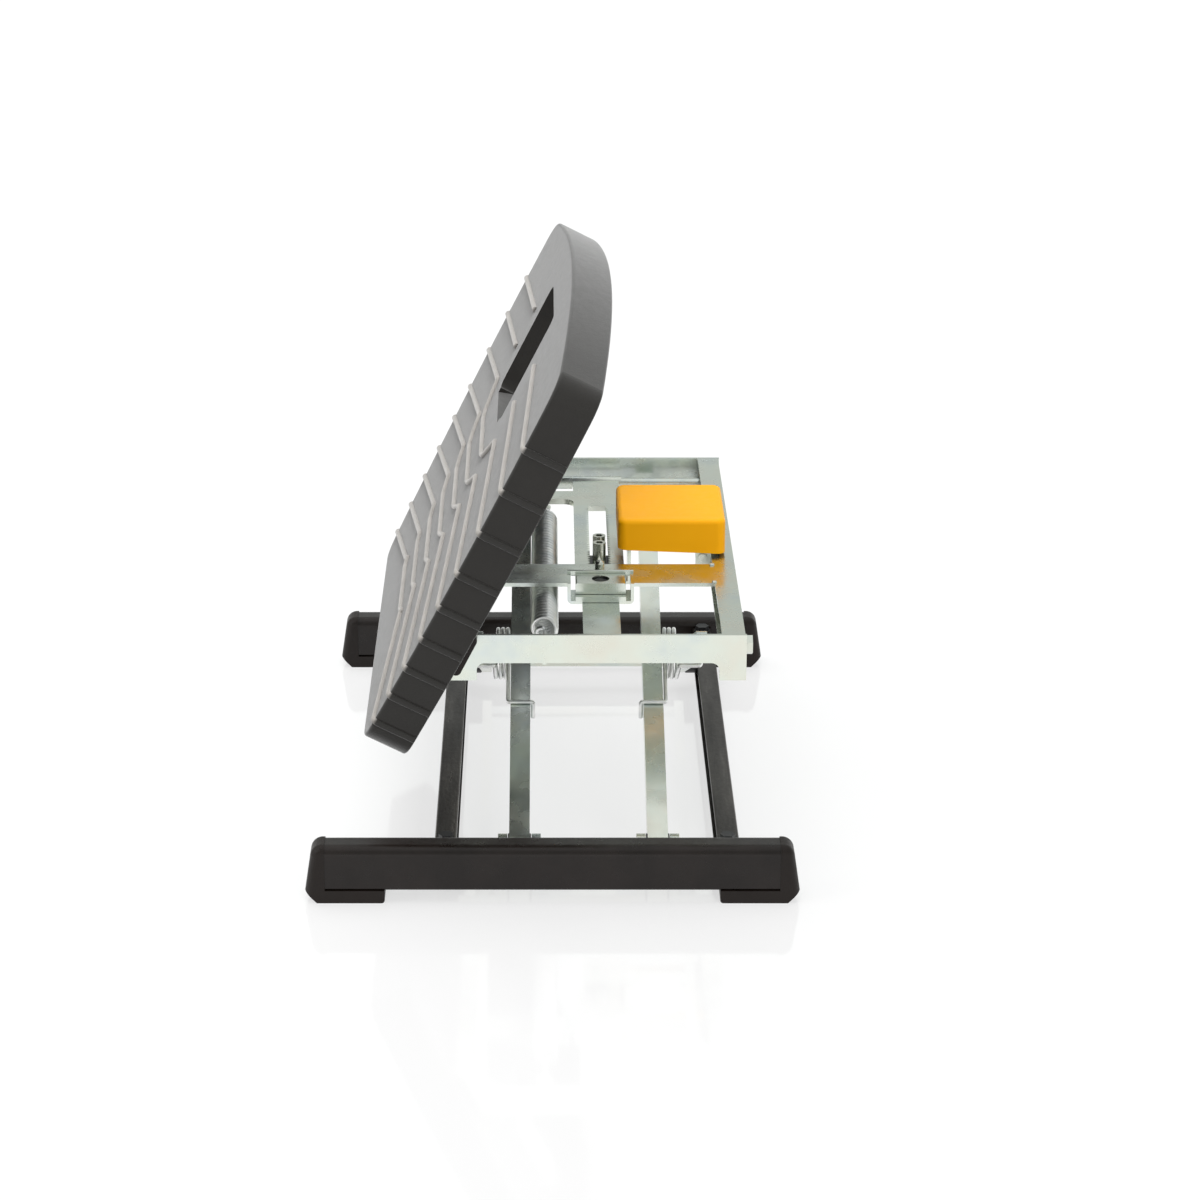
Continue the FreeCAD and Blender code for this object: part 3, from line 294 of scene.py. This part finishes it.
def resample(corners, step, passes=0, weight=0.25):
    # even steps along straight runs, then each point eased towards its neighbours, passes times
    corners = np.asarray(corners, float)
    length = np.concatenate([[0], np.cumsum(np.linalg.norm(np.diff(corners, axis=0), axis=1))])
    count = max(3, int(length[-1] / step) + 1)
    place = np.linspace(0, length[-1], count)
    line = np.stack([np.interp(place, length, corners[:, k]) for k in range(corners.shape[1])], axis=1)
    for _ in range(passes):
        line[1:-1] = (1 - 2 * weight) * line[1:-1] + weight * (line[:-2] + line[2:])
    return line


# foot board: ribs across its top and down its sides

board = {"hinge": (-0.074, 0.190), "hingeU": 0.0995, "hingeDepth": 0.027, "tilt": 63.0,
         "frontHalf": 0.213, "midHalf": 0.241, "backHalf": 0.240, "midU": 0.150, "backU": 0.325,
         "edgeRound": 0.0025, "thickness": 0.035}
# per rib, from the back to the front: where it crosses the edge, its kink and its low middle
rib = {"edgeU": (0.2687, 0.2331, 0.197, 0.161, 0.1307, 0.101, 0.0736, 0.0469, 0.021),
       "kinkU": (0.286, 0.2525, 0.2195, 0.1865, 0.1580, 0.1300, 0.1035, 0.0772, 0.0523),
       "kinkV": (0.082, 0.079, 0.084, 0.0805, 0.077, 0.074, 0.070, 0.066, 0.064),
       "lowU": (None, None, 0.1945, 0.1695, 0.1465, 0.1215, 0.0975, 0.0742, 0.0515),
       "lowV": (0, 0, 0.054, 0.054, 0.054, 0.055, 0.056, 0.057, 0.058),
       "topWidth": 0.0046, "topHeight": 0.0025, "sideWidth": 0.0056, "sideHeight": 0.0022,
       "footGap": 0.001, "lowRise": 0.0035, "lowEase": 0.006, "sunk": 0.0006, "step": 0.0016,
       "highlightFade": 0.0012}


def boardToFrame(flat):
    # (u, v, height above the top face) turned by the tilt about the hinge
    angle = math.radians(board["tilt"])
    u = flat[:, 0] - board["hingeU"]
    h = flat[:, 2] + board["hingeDepth"]
    x = board["hinge"][0] + u * math.cos(angle) - h * math.sin(angle)
    z = board["hinge"][1] + u * math.sin(angle) + h * math.cos(angle)
    return np.stack([x, flat[:, 1], z], axis=1)


def boardHalf(u):
    # half width on the circle through the front corner, the middle and the back corner
    points = np.array([(0, board["frontHalf"]), (board["midU"], board["midHalf"]),
                       (board["backU"], board["backHalf"])])
    rows = np.column_stack([2 * points, np.ones(3)])
    a, b, c = np.linalg.solve(rows, (points ** 2).sum(1))
    return b + np.sqrt(c + a * a + b * b - (u - a) ** 2)


def ribPath(k):
    # up the side wall, round its edge, along the top to the kink, down to the straight middle and
    # the same mirrored; the two ribs beside the opening stop at their kinks
    edge = float(boardHalf(rib["edgeU"][k]))
    r = board["edgeRound"]
    u = rib["edgeU"][k]
    wall = [(u, -edge, -board["thickness"] + rib["footGap"]), (u, -edge, -r)]
    turn = np.linspace(0, np.pi / 2, 7)[1:]
    bend = [(u, -edge + r - r * math.cos(t), -r + r * math.sin(t)) for t in turn]
    top = [(rib["kinkU"][k], -rib["kinkV"][k], 0)]
    if rib["lowU"][k] is None:
        return np.array(wall + bend + top), False
    low = [(rib["lowU"][k] + rib["lowRise"], -rib["lowV"][k] - rib["lowEase"], 0),
           (rib["lowU"][k], -rib["lowV"][k] + rib["lowEase"], 0)]
    half = wall + bend + top + low
    other = [(a, -b, c) for a, b, c in half[::-1]]
    return np.array(half + other), True


def makeRib(k, side):
    flat, whole = ribPath(k)
    line = resample(flat, rib["step"], 1, 0.2)
    line[:, 1] *= side
    half = boardHalf(line[:, 0])
    r = board["edgeRound"]
    # outward normal: sideways on the wall, up on the top, turning on the rounded edge
    share = np.clip((line[:, 2] + r) / r, 0, 1)
    lean = np.where(np.abs(line[:, 1]) > half - r - 1e-4, np.arccos(share), 0)
    lean = np.where(line[:, 2] < -r, np.pi / 2, lean)
    normal = np.stack([0 * lean, np.sign(line[:, 1]) * np.sin(lean), np.cos(lean)], axis=1)
    onSide = np.clip(lean / (np.pi / 2), 0, 1)
    width = rib["topWidth"] + (rib["sideWidth"] - rib["topWidth"]) * onSide
    height = rib["topHeight"] + (rib["sideHeight"] - rib["topHeight"]) * onSide
    angle = np.linspace(0, np.pi, 9)
    dome = np.stack([np.cos(angle) / 2, np.sin(angle) ** 0.8], axis=-1)
    base = np.array([(-0.5, 0.0), (0.5, 0.0)])
    shape = np.concatenate([dome, base])
    profile = np.empty((len(line), len(shape), 2))
    profile[..., 0] = shape[None, :, 0] * width[:, None]
    profile[..., 1] = shape[None, :, 1] * height[:, None]
    profile[:, -2:, 1] = -rib["sunk"]
    tangent = unit(np.gradient(line, axis=0))
    across = unit(np.cross(tangent, normal))
    rings = line[:, None, :] + profile[..., 0:1] * across[:, None, :] + profile[..., 1:2] * normal[:, None, :]
    points = boardToFrame(rings.reshape(-1, 3))
    faces = gridFaces(len(line), len(shape))
    if side < 0:
        faces = [face[::-1] for face in faces]
    return points, faces


def joinParts(parts):
    points, faces, offset = [], [], 0
    for p, f in parts:
        points.append(p)
        faces += [[i + offset for i in face] for face in f]
        offset += len(p)
    return np.concatenate(points), faces


def outward(piece):
    # face directions worked out afresh on a closed mesh
    bm = bmesh.new()
    bm.from_mesh(piece.data)
    bmesh.ops.recalc_face_normals(bm, faces=bm.faces)
    bm.to_mesh(piece.data)
    bm.free()
    return piece


ribParts = [makeRib(k, side) for k in range(len(rib["edgeU"]))
            for side in ((1, -1) if rib["lowU"][k] is None else (1,))]
ribPiece = outward(addPiece("board_ribs", *joinParts(ribParts), "board_foam", "board"))
# the pale second colour is a painted highlight on the rib tops; the wall colour is the board's own
ribPiece.data.materials[0] = makeRibs("boardRibs", (0.020, 0.0185, 0.0165), (0.36, 0.34, 0.315))
ribPoints = np.empty(len(ribPiece.data.vertices) * 3)
ribPiece.data.vertices.foreach_get("co", ribPoints)
ribPoints = ribPoints.reshape(-1, 3)
# height above the board's top face, from the same tilt as boardToFrame
tilt = math.radians(board["tilt"])
above = ((ribPoints[:, 2] - board["hinge"][1]) * math.cos(tilt)
         - (ribPoints[:, 0] - board["hinge"][0]) * math.sin(tilt))
above -= board["hingeDepth"]
# painted highlight mask: 1 where the rib stands above the top face, fading to 0 down the side wall
topHighlight = np.clip((above + rib["highlightFade"]) / rib["highlightFade"], 0, 1)
ribPiece.data.attributes.new("topHighlight", "FLOAT", "POINT").data.foreach_set("value", topHighlight.astype(np.float32))
print("board ribs made:", len(ribParts))


# weld beads where the frame's bars, side channels and strip meet: both ends along X, Y, Z and radius
welds = {"places": ((0.1275, 0.1420, 0.2092, 0.1978, 0.0034), (0.1235, 0.1275, -0.0605, 0.2002, 0.0017),
                    (0.1235, 0.1275, -0.1010, 0.2002, 0.0017)), "step": 0.0004, "flat": 0.8}


def makeWeld(k):
    # a squashed bead of varying width between two ends along X
    x0, x1, y, z, bead = welds["places"][k]
    line = resample([(x0, y, z), (x1, y, z)], welds["step"])
    t = np.linspace(0, 1, len(line))
    rounded = np.sqrt(np.clip(1 - (2 * t - 1) ** 6, 0.02, 1))
    ripple = 1 + 0.16 * np.sin(t * 34 + k) + 0.10 * np.sin(t * 57 + 2 * k)
    angle = np.linspace(0, 2 * np.pi, 14, endpoint=False)
    circle = np.stack([np.cos(angle), welds["flat"] * np.sin(angle)], axis=-1)
    profile = circle[None] * (bead * rounded * ripple)[:, None, None]
    return sweep(line, np.tile(np.array([0.0, 1.0, 0.0]), (len(line), 1)), profile)


weldParts = [makeWeld(k) for k in range(len(welds["places"]))]
outward(addPiece("frame_welds", *joinParts(weldParts), "zinc", "lift_frame"))
print("welds made")


# springs

liftSpring = {"x": -0.006, "z": 0.1815, "near": -0.158, "far": 0.106, "radius": 0.0090, "wire": 0.0018,
              "pitch": 0.0063, "anchorY": -0.2014, "loop": 0.0050, "boltY": 0.136, "boltLoop": 0.0038,
              "perTurn": 20, "opening": 0.6, "loopPoints": 26, "stemStep": 0.0015}


def liftSpringPath():
    # a coil whose radius opens from nothing to full over six tenths of a turn at each end; a stem
    # then runs to a level loop at each end
    s = liftSpring
    turns = (s["far"] - s["near"]) / s["pitch"]
    count = int(turns * s["perTurn"])
    t = np.linspace(0, 1, count)
    phi = np.pi / 2 + 2 * np.pi * round(turns) * t
    ease = np.clip(np.minimum(t, 1 - t) * turns / s["opening"], 0, 1)
    radius = s["radius"] * np.sin(ease * np.pi / 2)
    y = s["near"] + (s["far"] - s["near"]) * t
    coil = np.stack([s["x"] + radius * np.cos(phi), y, s["z"] + radius * np.sin(phi)], axis=1)
    coilSide = np.stack([np.cos(phi), 0 * phi, np.sin(phi)], axis=1)
    up = np.array([0.0, 0.0, 1.0])
    a = np.linspace(-0.8 * np.pi, 0.45 * np.pi, s["loopPoints"])
    r = s["loop"]
    nearLoop = np.stack([s["x"] + r * np.sin(a), s["anchorY"] + r - r * np.cos(a), 0 * a + s["z"]], axis=1)
    stem = resample([nearLoop[-1], (s["x"] + 0.0005, s["anchorY"] + 2.3 * r, s["z"]),
                     (s["x"], s["near"] - 0.001, s["z"])], s["stemStep"])
    b = np.linspace(1.45 * np.pi, 0.1 * np.pi, s["loopPoints"])
    rb = s["boltLoop"]
    farLoop = np.stack([s["x"] + rb * np.sin(b), s["boltY"] + rb * np.cos(b), 0 * b + s["z"]], axis=1)
    farStem = resample([(s["x"], s["far"] + 0.001, s["z"]), (s["x"], s["boltY"] - 2 * rb, s["z"]),
                        farLoop[0]], s["stemStep"])
    parts = [nearLoop, stem[1:], coil, farStem[:-1], farLoop]
    sides = [np.tile(up, (len(nearLoop), 1)), np.tile(up, (len(stem) - 1, 1)), coilSide,
             np.tile(up, (len(farStem) - 1, 1)), np.tile(up, (len(farLoop), 1))]
    return np.concatenate(parts), np.concatenate(sides)


springPath, springSide = liftSpringPath()
points, faces = sweep(springPath, springSide, roundProfile(len(springPath), liftSpring["wire"], 8))
liftPiece = outward(addPiece("lift_spring_coil", points, faces, "spring_steel", "lift_frame"))
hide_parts("lift_spring")
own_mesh(liftPiece)
print("lift spring made:", len(points), "points")

torsion = {"centre": (-0.009, 0.10575), "armAngle": math.degrees(math.atan2(163.5, 388.0)), "radius": 0.0195,
           "wire": 0.0017, "armX": -0.0252, "armHalf": 0.0078, "armTop": 0.010, "outerX": -0.0562,
           "outerHalf": 0.004, "reach": 0.068, "pitch": 0.0039, "mirrorX": 0.0552,
           "seat": 0.0002, "gap": 0.0004, "hookDrop": 0.005, "tip": 0.010, "step": 0.0012, "coilPoints": 150,
           "blendInner": -0.0360, "blendOuter": -0.0465}


def torsionPath():
    # in the inner arm's own plane (s along it, n square to it): a hook over the arm, a straight leg
    # tangent to the coil, about two and two thirds turns, and a tangent leg to a hook under the
    # outer arm
    q = torsion
    r, w = q["radius"], q["wire"]
    lift = q["armTop"] + w + q["seat"]
    legX = q["armX"] - q["armHalf"] - w - q["gap"]
    hookX = q["armX"] + q["armHalf"] + w + q["gap"]
    start = np.array([-q["reach"], lift])
    phiStart = math.atan2(start[0], start[1]) + math.acos(r / np.linalg.norm(start))
    cross = math.radians(180 - 2 * q["armAngle"])
    along = np.array([math.cos(cross), math.sin(cross)])
    below = np.array([math.cos(cross + math.pi / 2), math.sin(cross + math.pi / 2)])
    under = q["reach"] * along + lift * below
    phiEnd = math.atan2(under[0], under[1]) - math.acos(r / np.linalg.norm(under))
    phiEnd += 2 * math.pi * math.ceil((phiStart - phiEnd) / (2 * math.pi) + 2)
    phi = np.linspace(phiStart, phiEnd, q["coilPoints"])
    x = legX - q["pitch"] * (phi - phiStart) / (2 * math.pi)
    coil = np.stack([x, r * np.sin(phi), r * np.cos(phi)], axis=1)
    endX = coil[-1, 0]
    outX = q["outerX"] - q["outerHalf"] - w - q["gap"]
    first = [(hookX, start[0], -q["hookDrop"]), (hookX, start[0], lift), (legX, start[0], lift),
             tuple(coil[0])]
    tip = under - q["tip"] * below
    last = [tuple(coil[-1]), (endX, under[0], under[1]), (outX, under[0], under[1]), (outX, tip[0], tip[1])]
    lead = resample(first, q["step"], 2)
    tail = resample(last, q["step"], 2)
    return np.concatenate([lead[:-1], coil, tail[1:]])


def torsionSide(path):
    # never along the path: the coil's axis, turned to the arm's length where the wire runs along
    # that axis
    tangent = unit(np.gradient(path, axis=0))
    alongAxis = np.abs(tangent[:, 0:1]) ** 2
    return unit((1 - alongAxis) * np.array([1.0, 0.02, 0.02]) + alongAxis * np.array([0.02, 1.0, 0.02]))


def makeTorsion(name, node, mirrored):
    path = torsionPath()
    points, faces = sweep(path, torsionSide(path), roundProfile(len(path), torsion["wire"], 10))
    angle = math.radians(torsion["armAngle"])
    s, n = points[:, 1].copy(), points[:, 2].copy()
    points[:, 1] = torsion["centre"][0] + s * math.cos(angle) - n * math.sin(angle)
    points[:, 2] = torsion["centre"][1] + s * math.sin(angle) + n * math.cos(angle)
    inner, outer = torsion["blendInner"], torsion["blendOuter"]
    if mirrored:
        points[:, 0] = torsion["mirrorX"] - points[:, 0]
        inner, outer = torsion["mirrorX"] - inner, torsion["mirrorX"] - outer
    piece = outward(addPiece(name, points, faces, "spring_steel", None))
    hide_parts(node)
    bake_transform(piece)


makeTorsion("torsion_coil_left", "torsion_spring_left", False)
makeTorsion("torsion_coil_right", "torsion_spring_right", True)
print("torsion springs made")


# studio

cameraSettings = {"place": (-0.004885, -2.5588, 1.0888), "down": 19.5, "lens": 101.1525,
                  "shift": (0.045, -0.03333), "sensor": 36.0, "farthest": 50.0}
lights = {
    "top": {"place": (-0.3, 0.4, 2.2), "aim": (0.0, 0.0, 0.1), "size": 2.2, "watts": 46.0, "shine": False},
    "left": {"place": (-2.2, -0.8, 1.4), "aim": (0.0, 0.0, 0.2), "size": 1.5, "watts": 14.0, "shine": True},
    "front": {"place": (1.2, -2.6, 1.3), "aim": (0.0, 0.0, 0.15), "size": 1.4, "watts": 34.0, "shine": False},
}
# reflected sky by height: bright at the horizon, mid grey above it, bright again overhead
studioSky = {"seen": 1.0, "diffuse": 0.62,
             "grades": [(0.0, (0.95, 0.95, 0.95)), (0.06, (0.80, 0.80, 0.79)), (0.30, (0.57, 0.60, 0.58)),
                        (0.62, (0.50, 0.53, 0.53)), (0.95, (0.94, 0.96, 0.96))]}
floorFinish = {"color": (0.26, 0.26, 0.26, 1), "rough": 0.06, "specular": 0.75, "ownLight": 0.64}


def makeCamera():
    camera = bpy.data.objects.new("camera", bpy.data.cameras.new("camera"))
    bpy.context.scene.collection.objects.link(camera)
    camera.location = cameraSettings["place"]
    camera.rotation_euler = (math.radians(90 - cameraSettings["down"]), 0, 0)
    camera.data.lens = cameraSettings["lens"]
    camera.data.sensor_width = cameraSettings["sensor"]
    camera.data.shift_x, camera.data.shift_y = cameraSettings["shift"]
    camera.data.clip_end = cameraSettings["farthest"]
    bpy.context.scene.camera = camera


def makeLamp(name, setting):
    lamp = bpy.data.lights.new(name, "AREA")
    lamp.shape = "SQUARE"
    lamp.size = setting["size"]
    lamp.energy = setting["watts"]
    lampObject = bpy.data.objects.new(name, lamp)
    lampObject.location = setting["place"]
    lampObject.visible_glossy = setting["shine"]
    direction = Vector(setting["aim"]) - Vector(setting["place"])
    lampObject.rotation_euler = direction.to_track_quat("-Z", "Y").to_euler()
    bpy.context.scene.collection.objects.link(lampObject)


def makeWorld():
    # plain white where it is seen, the graded sky in reflections and a softer white as light
    world = bpy.data.worlds.new("studio")
    bpy.context.scene.world = world
    world.use_nodes = True
    tree = world.node_tree
    tree.nodes.clear()
    rays = tree.nodes.new("ShaderNodeLightPath")
    white = addNode(tree, "ShaderNodeBackground", None, Color=(1, 1, 1, 1), Strength=studioSky["seen"])
    soft = addNode(tree, "ShaderNodeBackground", None, Color=(1, 1, 1, 1), Strength=studioSky["diffuse"])
    sky = addNode(tree, "ShaderNodeBackground", None, Strength=1.0)
    direction = tree.nodes.new("ShaderNodeTexCoord")
    height = tree.nodes.new("ShaderNodeSeparateXYZ")
    tree.links.new(direction.outputs["Generated"], height.inputs[0])
    tree.links.new(rampOn(tree, height.outputs["Z"], studioSky["grades"]), sky.inputs["Color"])
    seen = addNode(tree, "ShaderNodeMath", {"operation": "MAXIMUM"})
    tree.links.new(rays.outputs["Is Camera Ray"], seen.inputs[0])
    tree.links.new(rays.outputs["Is Transmission Ray"], seen.inputs[1])
    glossy = tree.nodes.new("ShaderNodeMixShader")
    tree.links.new(rays.outputs["Is Glossy Ray"], glossy.inputs["Fac"])
    tree.links.new(soft.outputs[0], glossy.inputs[1])
    tree.links.new(sky.outputs[0], glossy.inputs[2])
    mix = tree.nodes.new("ShaderNodeMixShader")
    tree.links.new(seen.outputs[0], mix.inputs["Fac"])
    tree.links.new(glossy.outputs[0], mix.inputs[1])
    tree.links.new(white.outputs[0], mix.inputs[2])
    tree.links.new(mix.outputs[0], tree.nodes.new("ShaderNodeOutputWorld").inputs["Surface"])


def makeFloorMaterial():
    # faintly mirroring, with light of its own only for the camera and for reflections
    material, tree, shader = newMaterial("floorWhite")
    shader.inputs["Base Color"].default_value = floorFinish["color"]
    shader.inputs["Roughness"].default_value = floorFinish["rough"]
    shader.inputs["Specular IOR Level"].default_value = floorFinish["specular"]
    rays = tree.nodes.new("ShaderNodeLightPath")
    glow = addNode(tree, "ShaderNodeEmission", None, Color=(1, 1, 1, 1))
    lift = addNode(tree, "ShaderNodeMath", {"operation": "MULTIPLY"})
    lift.inputs[1].default_value = floorFinish["ownLight"]
    both = addNode(tree, "ShaderNodeMath", {"operation": "MAXIMUM"})
    tree.links.new(rays.outputs["Is Camera Ray"], both.inputs[0])
    tree.links.new(rays.outputs["Is Glossy Ray"], both.inputs[1])
    tree.links.new(both.outputs[0], lift.inputs[0])
    tree.links.new(lift.outputs[0], glow.inputs["Strength"])
    total = tree.nodes.new("ShaderNodeAddShader")
    tree.links.new(shader.outputs[0], total.inputs[0])
    tree.links.new(glow.outputs[0], total.inputs[1])
    tree.links.new(total.outputs[0], tree.nodes["Material Output"].inputs["Surface"])
    return material


makeCamera()
for name, setting in lights.items():
    makeLamp(name, setting)
makeWorld()
floorMesh = bpy.data.meshes.new("floor")
floorMesh.from_pydata([(-8, -6, 0), (8, -6, 0), (8, 10, 0), (-8, 10, 0)], [], [(0, 1, 2, 3)])
floor = bpy.data.objects.new("floor", floorMesh)
bpy.context.scene.collection.objects.link(floor)
floorMesh.materials.append(makeFloorMaterial())
bpy.context.scene.view_settings.view_transform = "Standard"
print("studio set")
